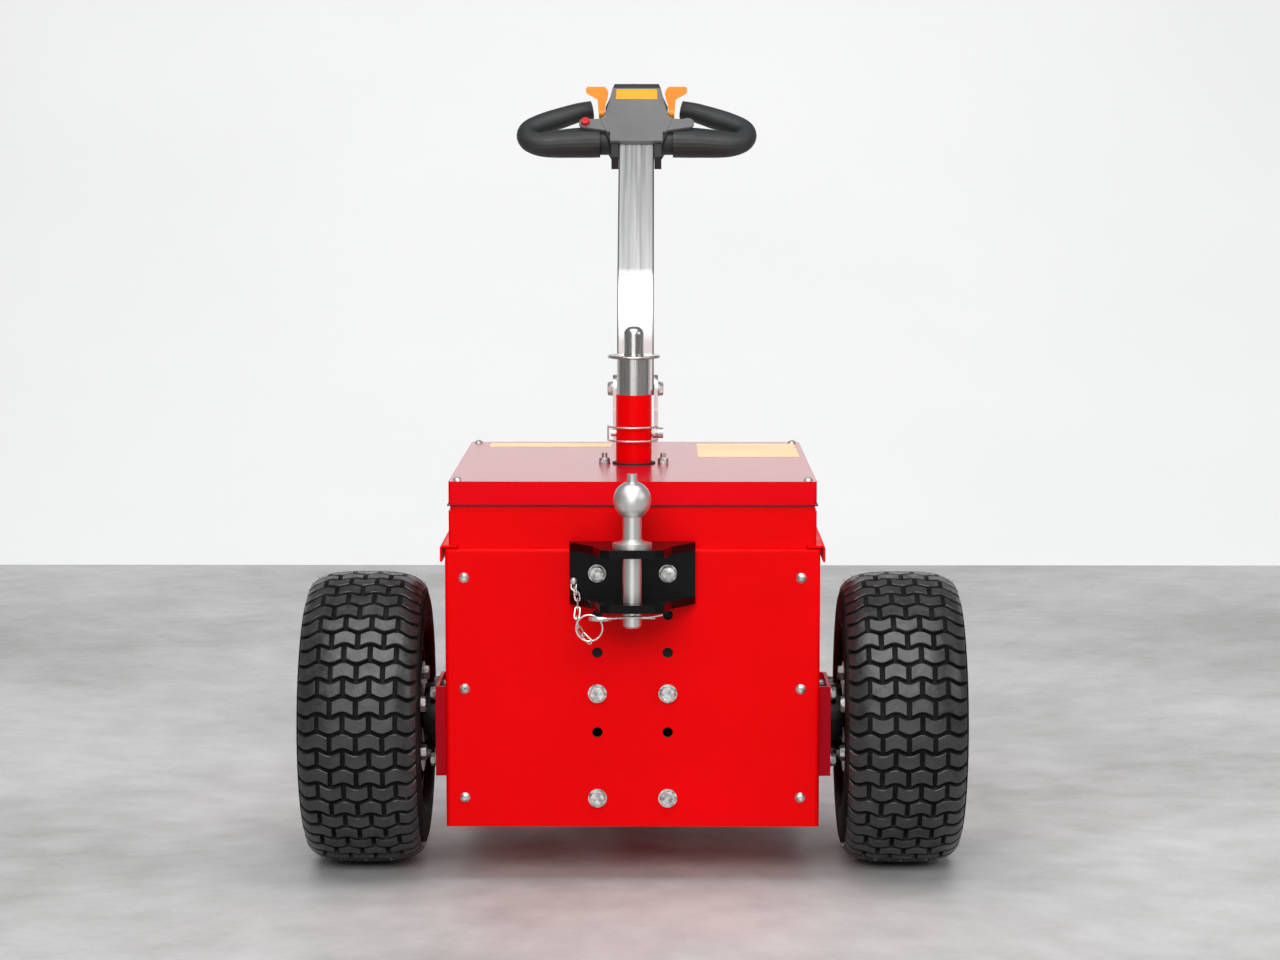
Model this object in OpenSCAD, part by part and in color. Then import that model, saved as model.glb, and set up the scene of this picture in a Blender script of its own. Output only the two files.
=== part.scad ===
// Battery-electric tug: two drive wheels, a rear castor, a tow ball and a tiller.
// Modules work in the chassis frame: X right, Y backwards from the front plate's face, Z up
// from the ground. home() moves that frame to the origin under the middle of the machine.

/* [Body] */
// Width of the front plate
plate_w = 500; // [480:5:540]
// Height of the front plate's lower edge above the ground
plate_low = 77; // [60:1:90]
// Height of the front plate's upper edge
plate_high = 453; // [440:1:456]
// Width of the upper box and of its lid
box_w = 490; // [470:5:492]
// Distance from the front plate's face to the box's front wall
box_front = 6; // [4:1:10]
// Depth of the upper box and of its lid, front to back
box_depth = 548; // [520:2:600]
// Height of the lid's top face
lid_top = 542; // [530:1:560]
// Height of the lid's folded skirt
lid_skirt = 31; // [24:1:36]
// Sheet metal thickness
sheet = 3; // [2:0.5:4]

/* [Front holes and screws] */
// Distance between the two columns of coupling holes
column_gap = 94; // [90:1:100]
// Diameter of the coupling holes
coupling_hole_d = 14; // [13:0.5:15]
// Distance between the two columns of cover screws
screw_gap = 449; // [430:1:460]

/* [Drive wheels] */
// Tyre outer diameter
tyre_d = 401; // [390:1:410]
// Tyre section width
tyre_w = 166; // [150:1:180]
// Distance from the machine's middle to each tyre's middle
wheel_x = 366; // [360:1:390]
// Distance of the axle behind the front plate's face
axle_y = 145; // [130:1:160]
// Diameter of the drive shafts
shaft_d = 30; // [20:1:36]
// Diameter of the circle of wheel studs
stud_circle_d = 120; // [112:1:130]

/* [Coupling post] */
// Distance of the post behind the front plate's face
post_y = 241; // [225:1:260]
// Outer diameter of the fixed tube
post_d = 50; // [44:1:60]
// Height of the fixed tube's upper end
post_top = 639; // [600:1:660]
// Diameter of the coupling pin's upper end
pin_d = 28; // [20:1:30]
// Height of the lock pin through the post
lock_z = 585; // [570:1:610]

/* [Tow hitch] */
// Half width of the hitch bracket
bracket_half_w = 83.5; // [70:0.5:90]
// How far the bracket's nose stands in front of the front plate
nose_reach = 97; // [85:1:110]
// How far the tow ball's axis stands in front of the front plate
ball_reach = 64.5; // [60:0.5:70]
// Diameter of the tow ball
ball_d = 50; // [45:1:60]
// Height of the tow ball's centre
ball_z = 525.5; // [515:0.5:540]

/* [Tiller] */
// Width of the tiller arm
arm_w = 55; // [40:1:60]
// Distance of the tiller pivot behind the front plate's face
pivot_y = 578; // [574:1:590]
// Height of the tiller pivot
pivot_z = 620; // [600:1:640]
// Angle by which the arm bends backwards
arm_bend = 44; // [30:1:50]
// Length of the arm's upper, leaning stretch
arm_upper = 216; // [190:1:230]

/* [Castor] */
// Castor wheel diameter
castor_d = 150; // [125:5:160]
// Distance of the castor's swivel axis behind the front plate's face
castor_y = 684; // [682:1:700]
// Distance from the swivel axis back to the castor wheel's axle
castor_trail = 42; // [30:1:50]

/* [Hidden] */
$fn = 48;

red = [0.80, 0.03, 0.03];
black = [0.06, 0.06, 0.065];
zinc = [0.75, 0.76, 0.77];
stainless = [0.70, 0.70, 0.70];
orange = [1.00, 0.55, 0.05];

// Body heights and depths
wall = 4;
wall_in = 242.6;
wall_out = wall_in + wall;
ledge_top = 457;
box_low = 457.2;
box_back = box_front + box_depth;
back_out = box_back;
neck_low = 502;
skirt_low = lid_top - lid_skirt;
floor_z = plate_low + 3;
backing_t = 8;
bend_r = 6;
flange_depth = 25;
screw_rows = [413.6, 263.8, 116.5];
open_rows = [364, 313, 205];
bolt_rows = [258, 116];
bracket_bolt_z = 421;

// Wheels
axle_z = tyre_d / 2;
rim_r = 101.6;
rim_lip_r = 114;
rim_half_w = 72;
hub_x = 290;
hub_t = 8;
side_out = 269.5;
side_in = wall_out + 0.2;
side_t = 5;
gear_r = 46;
side_y = [84, 206];
side_plate_z = [129, 252.5];
gear_end = hub_x - 3;
running_gap = 0.05;
stud_count = 5;
stud_start = 46;
side_bolt_y = [104, 186];
side_bolt_z = [148, 240];

// Post
sleeve_d = 46.4;
disc_z = 688;
pin_top = 734;
stud_x = 41;
lock_d = 10;

// Hitch
bracket_low = 380;
bracket_high = 463;
bracket_t = 8;
shelf_t = 11;
ball_pin_d = 25;
ball_pin_low = 357;
clip_z = 369.7;
clip_wire_d = 3;
coil_x = -41;
ring_r = 17.3;
link_wire_d = 2.2;
link_wire_r = link_wire_d / 2;
link_bend_r = 3.4;
chain_x = -78;
chain_z = 411;

// Tiller arm: a straight stretch, a bend backwards, and a straight upper stretch
arm_t = 20;
arm_socket = 57;
arm_straight_top = 690;
arm_bend_r = 150;
arm_end_y = pivot_y + arm_bend_r * (1 - cos(arm_bend)) + arm_upper * sin(arm_bend);
arm_end_z = arm_straight_top + arm_bend_r * sin(arm_bend) + arm_upper * cos(arm_bend);
ear_in = arm_w / 2 + 0.4;
ear_t = 6;

// Tiller head, in its own frame: X across, Y along the arm towards the operator, Z out of the
// face with the levers on it
head_len = 166;
lever_v = 112;
lever_w = 4;
belly_travel = 5;
horn_x = 80;
horn_v = 80;

// Castor
castor_r = castor_d / 2;
castor_top = 196;

// Rear controls
rear_row_z = 479;

head_reach = arm_end_y + (head_len + belly_travel + 6.5) * sin(arm_bend) + 22 * cos(arm_bend);
mid_y = (head_reach - nose_reach) / 2;

module home() {
    translate([0, -mid_y, 0]) children();
}

// Draws in a YZ outline and extrudes it from x0 to x1
module along_x(x0, x1) {
    translate([x0, 0, 0]) rotate([90, 0, 90]) linear_extrude(x1 - x0) children();
}

// Draws in an XZ outline and extrudes it from y0 to y1
module along_y(y0, y1) {
    translate([0, y1, 0]) rotate([90, 0, 0]) linear_extrude(y1 - y0) children();
}

module block(x0, x1, y0, y1, z0, z1) {
    translate([x0, y0, z0]) cube([x1 - x0, y1 - y0, z1 - z0]);
}

module both_sides() {
    children();
    mirror([1, 0, 0]) children();
}

module rounded_rect(w, d, r) {
    translate([-w / 2 + r, 0]) square([w - 2 * r, d]);
    translate([-w / 2, r]) square([w, d - 2 * r]);
    for (x = [-w / 2 + r, w / 2 - r], y = [r, d - r])
        translate([x, y]) circle(r);
}

// An open-ended rectangular tube of sheet, its front wall at y0
module collar(w, y0, depth, z0, z1, t, r) {
    translate([0, y0, z0]) difference() {
        linear_extrude(z1 - z0) rounded_rect(w, depth, r);
        translate([0, t, -1]) linear_extrude(z1 - z0 + 2) rounded_rect(w - 2 * t, depth - 2 * t, 1);
    }
}

module hex(af, h) {
    cylinder(d = af / cos(30), h = h, $fn = 6);
}

// A hexagon head with its corners chamfered round
module hex_head(af, h) {
    intersection() {
        hex(af, h);
        rotate_extrude() polygon([[0, 0], [af * 0.6, 0], [af * 0.6, h - 2], [af * 0.47, h], [0, h]]);
    }
}

// Bolt with washer: head above Z = 0, shank of the given length below
module hex_bolt(d, af, head_h, washer_d, length) {
    translate([0, 0, 2.2]) hex_head(af, head_h);
    cylinder(d = washer_d, h = 2.2);
    translate([0, 0, -length]) cylinder(d = d, h = length + 1);
}

// Dome-headed screw with a hexagon socket
module dome_screw(head_d, head_h, d, length) {
    ball_r = (head_d * head_d / 4 + head_h * head_h) / (2 * head_h);
    difference() {
        intersection() {
            translate([0, 0, head_h - ball_r]) sphere(ball_r);
            cylinder(d = head_d, h = head_h);
        }
        translate([0, 0, head_h * 0.45]) hex(head_d * 0.36, head_h);
    }
    translate([0, 0, -length]) cylinder(d = d, h = length);
}

module nut(d, af, h) {
    difference() {
        hex_head(af, h);
        translate([0, 0, -1]) cylinder(d = d, h = h + 2);
    }
}

// Round tube swept along points, which lie in or near the plane whose normal is up. A point's
// fourth number, where it has one, is the tube's radius there.
function unit(v) = v / norm(v);
function place(q) = [q[0], q[1], q[2]];
function tube_r(q, r) = len(q) > 3 ? q[3] : r;
function tangent(p, i) = unit(place(p[min(i + 1, len(p) - 1)]) - place(p[max(i - 1, 0)]));
// Adds points between those given, on a smooth curve through them
function smoothed(p, n) = concat([for (i = [0:len(p) - 2], k = [0:n - 1])
    let (t = k / n, a = p[max(i - 1, 0)], b = p[i], c = p[i + 1], d = p[min(i + 2, len(p) - 1)])
        b + (c - a) * t / 2 + (a - 2.5 * b + 2 * c - d / 2) * t * t
            + (1.5 * b - a / 2 - 1.5 * c + d / 2) * t * t * t], [p[len(p) - 1]]);
module swept(p, r, up, sides) {
    rings = [for (i = [0:len(p) - 1])
        let (t = tangent(p, i), n = unit(cross(t, up)), b = cross(n, t))
        for (k = [0:sides - 1]) place(p[i])
            + tube_r(p[i], r) * (cos(360 * k / sides) * n + sin(360 * k / sides) * b)];
    last = len(p) - 1;
    faces = concat(
        [[for (k = [0:sides - 1]) k]],
        [[for (k = [sides - 1:-1:0]) last * sides + k]],
        [for (i = [0:last - 1], k = [0:sides - 1])
            let (a = i * sides + k, b = i * sides + (k + 1) % sides) [a, a + sides, b]],
        [for (i = [0:last - 1], k = [0:sides - 1])
            let (a = i * sides + k, b = i * sides + (k + 1) % sides) [a + sides, b + sides, b]]);
    polyhedron(rings, faces);
}

// Front plate: a pan with rounded folds at its sides and top
module pan_solid(inset) {
    half = plate_w / 2 - inset;
    r = bend_r - inset;
    top = plate_high - inset;
    intersection() {
        translate([0, inset, plate_low - inset]) linear_extrude(top - plate_low + inset) {
            translate([0, r]) translate([-half, 0]) square([2 * half, flange_depth]);
            translate([-half + r, 0]) square([2 * half - 2 * r, r + 1]);
            for (x = [-half + r, half - r]) translate([x, r]) circle(r);
        }
        along_x(-half, half) {
            translate([inset, 0]) square([flange_depth + r, top - r]);
            translate([inset + r, 0]) square([flange_depth, top]);
            translate([inset + r, top - r]) circle(r);
        }
    }
}

module front_plate() {
    color(red) home() difference() {
        pan_solid(0);
        pan_solid(sheet);
        block(-wall_in, wall_in, sheet + 4, 60, plate_low - 1, plate_low + 12);
        block(-300, 300, flange_depth, 60, 0, 500);
        both_sides() {
            block(240, 260, sheet + bend_r, 60, 0, plate_low + 7);
            block(240, 260, sheet + bend_r, 60, plate_high - bend_r - 4, plate_high + 1);
        }
        coupling_holes(bolt_rows);
        coupling_holes(open_rows);
        coupling_holes([bracket_bolt_z]);
        for (x = [-1, 1], z = screw_rows)
            translate([x * screw_gap / 2, 20, z]) rotate([90, 0, 0]) cylinder(d = 8.4, h = 30);
    }
}

module coupling_holes(rows) {
    for (x = [-1, 1], z = rows)
        translate([x * column_gap / 2, 40, z])
            rotate([90, 0, 0]) cylinder(d = coupling_hole_d, h = 60);
}

module front_plate_screws() {
    color(zinc) home() for (x = [-1, 1], z = screw_rows)
        translate([x * screw_gap / 2, 0, z]) rotate([90, 0, 0]) {
            dome_screw(14, 4.4, 8, 16);
            translate([0, 0, -14.2]) nut(8, 13, 6.5);
        }
}

// Lower body: floor, sides, back and front returns, with a hooked lip along each side
module chassis_tub() {
    color(red) home() difference() {
        union() {
            block(-wall_in, wall_in, sheet + 0.2, back_out, floor_z, floor_z + wall);
            both_sides() {
                block(wall_in - 1, wall_out, sheet + bend_r + 0.2, back_out, floor_z, floor_z + wall);
                block(wall_in, wall_out, sheet + bend_r + 0.2, back_out, floor_z, ledge_top - sheet);
                side_lip();
                block(212, wall_in, sheet + 0.2, sheet + 4.2, floor_z, plate_high - 8);
                block(wall_in - 4, wall_in + 1, sheet + 3.4, sheet + bend_r + 4, floor_z, plate_high - 8);
            }
            block(-wall_out, wall_out, back_out - wall, back_out, floor_z, ledge_top - 3);
            block(-wall_in, wall_in, back_out - 24, back_out, ledge_top - sheet, ledge_top);
        }
        for (x = [-1, 1], z = screw_rows)
            translate([x * screw_gap / 2, 20, z]) rotate([90, 0, 0]) cylinder(d = 8.4, h = 30);
        both_sides() {
            translate([200, axle_y, axle_z]) rotate([0, 90, 0]) cylinder(r = gear_r + 0.3, h = 80);
            for (y = side_bolt_y, z = side_bolt_z)
                translate([200, y, z]) rotate([0, 90, 0]) cylinder(d = 10.5, h = 80);
        }
        rear_holes(30);
    }
}

// The lip: out from the wall's top, over a rounded fold, and down clear of the wall
module side_lip() {
    lip_out = 256.4;
    lip_low = 435;
    r = 4;
    along_y(0.5, back_out) {
        translate([wall_in - 10, ledge_top - sheet]) square([lip_out - r - wall_in + 10, sheet]);
        translate([lip_out - sheet, lip_low]) square([sheet, ledge_top - r - lip_low]);
        intersection() {
            translate([lip_out - r, ledge_top - r]) difference() {
                circle(r);
                circle(r - sheet);
            }
            translate([lip_out - r, ledge_top - r]) square(r);
        }
    }
}

module backing_plate() {
    y0 = sheet + 0.2;
    color([0.35, 0.35, 0.36]) home() difference() {
        block(-78, 78, y0, y0 + backing_t, floor_z + wall, plate_high - 8);
        coupling_holes(bolt_rows);
        coupling_holes(open_rows);
        coupling_holes([bracket_bolt_z]);
    }
}

module front_plate_bolts() {
    color(zinc) home() for (x = [-1, 1], z = bolt_rows)
        translate([x * column_gap / 2, 0, z]) rotate([90, 0, 0]) {
            hex_bolt(12, 19, 7.5, 25, 26);
            translate([0, 0, -sheet - backing_t - 0.4 - 10]) nut(12, 19, 10);
        }
}

module upper_box() {
    tab = 34;
    color(red) home() difference() {
        union() {
            collar(box_w, box_front, box_depth, box_low, neck_low, sheet, 4);
            collar(box_w - 4, box_front + 2, box_depth - 4, neck_low - 3, skirt_low - 0.2, 2, 3);
            collar(box_w - 7, box_front + 3.5, box_depth - 7, skirt_low - 3, lid_top - 3.1, 2, 3);
            block(-232, 232, box_front, box_front + sheet, plate_high + 0.2, box_low + 1);
            for (x = [-1, 1], y = [box_front + 5, box_back - 5 - tab])
                translate([x * (box_w / 2 - 5 - tab / 2) - tab / 2, y, lid_top - 6])
                    cube([tab, tab, 3]);
        }
        lid_screw_places() translate([0, 0, -30]) cylinder(d = 6.4, h = 60);
    }
}

module lid_screw_places() {
    for (x = [-234, 234], y = [box_front + 19, box_back - 16])
        translate([x, y, lid_top]) children();
}

module lid() {
    color(red) home() difference() {
        translate([0, box_front, skirt_low]) linear_extrude(lid_skirt) rounded_rect(box_w, box_depth, 4);
        translate([0, box_front + sheet, skirt_low - 1])
            linear_extrude(lid_skirt - 2) rounded_rect(box_w - 2 * sheet, box_depth - 2 * sheet, 2);
        translate([0, post_y, lid_top - 10]) cylinder(d = post_d + 8, h = 20);
        for (x = [-stud_x, stud_x]) translate([x, post_y, lid_top - 10]) cylinder(d = 9, h = 20);
        lid_screw_places() translate([0, 0, -8]) cylinder(d = 6.4, h = 20);
    }
}

module lid_screws() {
    color(zinc) home() lid_screw_places() dome_screw(13, 4.2, 6, 14);
}

// Fixed tube of the coupling post, with the flange that hangs it from the lid
module post_tube() {
    color(red) home() translate([0, post_y, 0]) difference() {
        union() {
            translate([0, 0, floor_z + wall]) cylinder(d = post_d, h = post_top - floor_z - wall);
            translate([0, 0, lid_top - 9]) linear_extrude(6) {
                square([2 * stud_x, 52], center = true);
                for (x = [-stud_x, stud_x]) translate([x, 0]) circle(26);
            }
            translate([0, 0, floor_z + wall]) cylinder(d = 92, h = 6);
        }
        translate([0, 0, floor_z + wall + 12]) cylinder(d = sleeve_d + 0.4, h = 600);
        translate([-60, 0, lock_z]) rotate([0, 90, 0]) cylinder(d = lock_d + 0.2, h = 120);
        for (x = [-stud_x, stud_x]) translate([x, 0, lid_top - 20]) cylinder(d = 8.4, h = 20);
    }
}

module post_nuts() {
    color(zinc) home() for (x = [-stud_x, stud_x]) translate([x, post_y, lid_top]) {
        cylinder(d = 16, h = 1.6);
        translate([0, 0, 1.6]) hex_head(13, 6.5);
        translate([0, 0, -16]) cylinder(d = 8, h = 31);
        translate([0, 0, -16]) hex_head(13, 5.5);
    }
}

// Removable coupling pin: a sleeve in the post, a disc that carries the load, and the pin
module coupling_pin() {
    nose_r = 11;
    color(stainless) home() translate([0, post_y, 0]) difference() {
        rotate_extrude() {
            translate([0, lock_z - 60]) square([sleeve_d / 2, disc_z + 2 - lock_z + 60]);
            translate([0, disc_z + 2]) square([35, 4]);
            translate([35, disc_z + 4]) circle(2);
            translate([0, disc_z + 6]) square([pin_d / 2, pin_top - nose_r - disc_z - 6]);
            translate([0, disc_z + 6]) square([pin_d / 2 - nose_r, pin_top - disc_z - 6]);
            intersection() {
                translate([pin_d / 2 - nose_r, pin_top - nose_r]) circle(nose_r);
                translate([0, pin_top - nose_r - 1]) square(nose_r * 2);
            }
        }
        translate([-60, 0, lock_z]) rotate([0, 90, 0]) cylinder(d = lock_d + 0.2, h = 120);
    }
}

bail_gap = 19;
bail_wire_d = 2.6;
bail_pivot_x = 33;
bail_tip_x = -36;

module lock_pin() {
    color(zinc) home() translate([0, post_y, lock_z]) difference() {
        union() {
            translate([bail_tip_x + 4, 0, 0]) rotate([0, 90, 0]) cylinder(d = lock_d, h = 60);
            translate([post_d / 2 + 1, 0, 0]) rotate([0, 90, 0]) cylinder(d = 15, h = 15);
        }
        translate([bail_pivot_x, 0, -20]) cylinder(d = bail_wire_d + 0.1, h = 40);
    }
}

// Spring wire bail: hinged in the pin's head, round the front of the post, over the pin's tip
module lock_pin_bail() {
    bow_r = (bail_pivot_x - bail_tip_x) / 2;
    bow_x = (bail_pivot_x + bail_tip_x) / 2;
    color(zinc) home() translate([0, post_y, lock_z]) {
        for (s = [-1, 1]) translate([bow_x, 0, s * bail_gap / 2])
            rotate([0, 0, 180]) rotate_extrude(angle = 180)
                translate([bow_r, 0]) circle(d = bail_wire_d);
        for (x = [bail_pivot_x, bail_tip_x]) translate([x, 0, 0])
            cylinder(d = bail_wire_d, h = bail_gap + bail_wire_d, center = true);
    }
}

// Outline of the bracket's shelves: full width at the plate, tapering to a blunt nose
module shelf_outline() {
    polygon([[bracket_half_w, 0], [bracket_half_w, -8], [52, -54], [42, -88], [30, -nose_reach],
        [-30, -nose_reach], [-42, -88], [-52, -54], [-bracket_half_w, -8], [-bracket_half_w, 0]]);
}

module hitch_bracket() {
    color(black) home() difference() {
        union() {
            block(-bracket_half_w, bracket_half_w, -bracket_t, 0, bracket_low, bracket_high);
            for (z = [bracket_low, bracket_high - shelf_t])
                translate([0, 0, z]) linear_extrude(shelf_t) shelf_outline();
        }
        translate([0, -ball_reach, bracket_low - 10]) cylinder(d = ball_pin_d + 0.6, h = 120);
        coupling_holes([bracket_bolt_z]);
        translate([chain_x, 10, chain_z]) rotate([90, 0, 0]) cylinder(d = 4.4, h = 30);
    }
}

module hitch_fasteners() {
    color(zinc) home() {
        for (x = [-1, 1]) translate([x * column_gap / 2, -bracket_t, bracket_bolt_z])
            rotate([90, 0, 0]) {
                hex_bolt(12, 19, 7.5, 24, 34);
                translate([0, 0, -bracket_t - sheet - backing_t - 0.4 - 10]) nut(12, 19, 10);
            }
        translate([chain_x, -bracket_t, chain_z]) rotate([90, 0, 0]) {
            translate([0, 0, 4.6]) dome_screw(10, 3.6, 4, 2);
            translate([0, 0, -bracket_t + 0.4]) cylinder(d = 4, h = bracket_t + 4.4);
        }
    }
}

module tow_ball_pin() {
    collar_z = bracket_high;
    color(stainless) home() translate([0, -ball_reach, 0]) difference() {
        union() {
            translate([0, 0, ball_z]) sphere(d = ball_d);
            translate([0, 0, ball_z + 20]) cylinder(d = 13, h = 14);
            translate([0, 0, collar_z]) cylinder(d = 52, h = 6);
            translate([0, 0, collar_z + 6]) cylinder(d1 = 38, d2 = ball_pin_d, h = 5);
            translate([0, 0, collar_z]) cylinder(d = ball_pin_d, h = ball_z - collar_z);
            translate([0, 0, ball_pin_low + 3]) cylinder(d = ball_pin_d, h = collar_z - ball_pin_low);
            translate([0, 0, ball_pin_low]) cylinder(d1 = 19, d2 = ball_pin_d, h = 3);
        }
        translate([-30, 0, clip_z]) rotate([0, 90, 0]) cylinder(d = 4.6, h = 60);
    }
}

// Spring clip: a straight leg through the pin, a double coil, and a leg round the pin's front.
// The clip's plane leans so that its front leg is the higher one.
coil_r = 14.4;
clip_lean = 12;

module r_clip() {
    rise = 3.3;
    leg = [for (x = [30:-6:coil_x + 10]) [x, 0, 0]];
    coil = [for (a = [0:15:540])
        [coil_x - coil_r * sin(a), coil_r * cos(a) - coil_r, -rise * min(a, 360) / 360]];
    front = [[coil_x + 7, -2 * coil_r, -2.4], [-20, -24, -1.5], [-13, -18.5, -0.6], [-7, -15.8, 0],
        [0, -15.2, 0], [7, -15.8, 0], [15, -19, 0], [24, -20, 0.5], [32, -22, 1.6], [40, -24, 3]];
    color(zinc) home() translate([0, -ball_reach, clip_z]) rotate([-clip_lean, 0, 0])
        swept(concat(leg, coil, front), clip_wire_d / 2, [0, 0, 1], 10);
}

module clip_ring() {
    color(zinc) home() translate([-56, -ball_reach - coil_r, clip_z - ring_r + 6.2])
        rotate([90, 0, 0]) rotate_extrude() translate([ring_r, 0]) circle(1.1);
}

// One chain link: a closed racetrack of wire, its end centres pitch apart along Z
module chain_link(pitch) {
    steps = 16;
    sides = 6;
    rings = [for (i = [0:steps - 1])
        let (a = 360 * (i + 0.5) / steps, dir = [cos(a), 0, sin(a)],
            centre = [0, 0, sin(a) > 0 ? pitch / 2 : -pitch / 2])
            for (k = [0:sides - 1])
                centre + dir * (link_bend_r + cos(360 * k / sides) * link_wire_r)
                    + [0, sin(360 * k / sides) * link_wire_r, 0]];
    faces = [for (i = [0:steps - 1], k = [0:sides - 1])
        let (a = i * sides + k, b = i * sides + (k + 1) % sides,
            c = ((i + 1) % steps) * sides + (k + 1) % sides, d = ((i + 1) % steps) * sides + k)
            each [[a, d, b], [d, c, b]]];
    polyhedron(rings, faces);
}

// The points where one link hangs in the next, from the screw to the ring
chain_path = [[chain_x, -10.4, chain_z], [chain_x, -11.6, 401], [-74, -23.5, 397.2],
    [-72.3, -33, 389], [-72, -42, 379], [-73, -52, 368], [-71, -62, 357.5], [-64.5, -71.5, 348.5],
    [-54.8, -80, 340.3]];

module clip_chain() {
    play = 3;
    color(zinc) home() for (i = [0:len(chain_path) - 2]) {
        step = chain_path[i + 1] - chain_path[i];
        from = i == 0 ? chain_path[0] : chain_path[i] + unit(step) * play / 2;
        to = chain_path[i + 1] - unit(step) * play / 2;
        lean = acos(step[2] / norm(step));
        turn = atan2(step[1], step[0]);
        translate((from + to) / 2) rotate([0, lean, turn])
            rotate([0, 0, i % 2 == 0 ? 90 : 0]) chain_link(norm(to - from));
    }
}

// Everything about one drive wheel is drawn on the right-hand side and mirrored for the left
module side_plate() {
    difference() {
        block(side_in, side_out, side_y[0], side_y[1], side_plate_z[0], side_plate_z[1]);
        block(side_in - 1, side_out - side_t, side_y[0] + side_t, side_y[1] - side_t, 100, 300);
        translate([200, axle_y, axle_z]) rotate([0, 90, 0]) cylinder(r = gear_r + 0.3, h = 100);
        for (y = side_bolt_y, z = side_bolt_z)
            translate([200, y, z]) rotate([0, 90, 0]) cylinder(d = 10.5, h = 80);
    }
}

module side_plate_right() {
    color(red) home() side_plate();
}

module side_plate_left() {
    color(red) home() mirror([1, 0, 0]) side_plate();
}

module side_plate_bolts() {
    color(zinc) home() both_sides() for (y = side_bolt_y, z = side_bolt_z)
        translate([side_out, y, z]) rotate([0, 90, 0]) {
            hex_bolt(10, 16, 6.4, 20, 36);
            translate([0, 0, -side_out + wall_in - 8.2]) nut(10, 16, 8);
        }
}

// Worm gear motor: a round neck through the side plate, a gear case and a motor behind it
module gear_motor() {
    difference() {
        union() {
            translate([0, axle_y, axle_z]) rotate([0, 90, 0]) {
                translate([0, 0, 170]) cylinder(r = gear_r, h = gear_end - 170);
                translate([0, 0, 150]) cylinder(r = 48, h = 30);
                translate([0, 0, 34]) cylinder(d = 84, h = 120);
                translate([0, 0, 26]) cylinder(d = 60, h = 10);
            }
            block(178, 232, axle_y - 62, axle_y + 62, 124, 264);
        }
        translate([200, axle_y, axle_z]) rotate([0, 90, 0])
            cylinder(d = shaft_d + 2 * running_gap, h = 120);
    }
}

module gear_motor_right() {
    color(black) home() gear_motor();
}

module gear_motor_left() {
    color(black) home() mirror([1, 0, 0]) gear_motor();
}

module stud_places() {
    for (i = [0:stud_count - 1])
        translate([0, axle_y, axle_z]) rotate([stud_start + i * 360 / stud_count, 0, 0])
            translate([0, -stud_circle_d / 2, 0]) children();
}

module wheel_hub() {
    difference() {
        union() {
            translate([205, axle_y, axle_z]) rotate([0, 90, 0]) cylinder(d = shaft_d, h = 100);
            translate([hub_x, axle_y, axle_z]) rotate([0, 90, 0]) cylinder(r = 76, h = hub_t);
            translate([hub_x, axle_y, axle_z]) rotate([0, 90, 0]) cylinder(r = 33, h = 34);
        }
        stud_places() translate([200, 0, 0]) rotate([0, 90, 0]) cylinder(d = 12.4, h = 200);
    }
}

module wheel_hub_right() {
    color(black) home() wheel_hub();
}

module wheel_hub_left() {
    color(black) home() mirror([1, 0, 0]) wheel_hub();
}

// Wheel bolts with their heads inwards and a nut on the wheel disc
module wheel_nuts() {
    stud_places() {
        translate([hub_x, 0, 0]) rotate([0, -90, 0]) hex_head(19, 7.5);
        translate([hub_x - 1, 0, 0]) rotate([0, 90, 0]) cylinder(d = 12, h = 32);
        translate([hub_x + hub_t + 4.4, 0, 0]) rotate([0, 90, 0]) nut(12, 19, 12);
    }
}

module wheel_nuts_right() {
    color(zinc) home() wheel_nuts();
}

module wheel_nuts_left() {
    color(zinc) home() mirror([1, 0, 0]) wheel_nuts();
}

// Rim section, turned round the axle: lips, bead seats, a well, and a deep-dished disc
module rim_section() {
    w = rim_half_w;
    polygon([
        [rim_lip_r, -w], [rim_lip_r, -w + 3], [rim_r - 1, -w + 6], [rim_r - 1, -w + 22], [88, -w + 32],
        [88, w - 40], [rim_r - 1, w - 24], [rim_r - 1, w - 6], [rim_lip_r, w - 3], [rim_lip_r, w],
        [rim_r - 4, w], [rim_r - 4, w - 24], [84.5, w - 40], [84.5, -w + 30],
        [rim_r - 4, -w + 20], [rim_r - 4, -w]]);
}

module rim() {
    disc_x = hub_x + hub_t - wheel_x;
    difference() {
        translate([wheel_x, axle_y, axle_z]) rotate([0, 90, 0]) rotate_extrude() {
            rim_section();
            polygon([[33.3, disc_x + 0.2], [74, disc_x + 0.2], [86.5, disc_x + 34], [86.5, disc_x + 42],
                [82.5, disc_x + 42], [71, disc_x + 4.2], [33.3, disc_x + 4.2]]);
        }
        stud_places() translate([200, 0, 0]) rotate([0, 90, 0]) cylinder(d = 12.8, h = 200);
    }
}

module rim_right() {
    color(black) home() rim();
}

module rim_left() {
    color(black) home() mirror([1, 0, 0]) rim();
}

// Tyre section: a squarish rounded carcass from bead angle a0 over the tread to the other bead
function carcass(half_w, r_out, power, a0, n) = [for (i = [0:n])
    let (a = a0 + (180 - 2 * a0) * i / n, mid = (r_out + 104) / 2, half_h = (r_out - 104) / 2)
    [mid + half_h * sign(sin(a)) * pow(abs(sin(a)), power),
     half_w * sign(cos(a)) * pow(abs(cos(a)), power)]];

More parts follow.
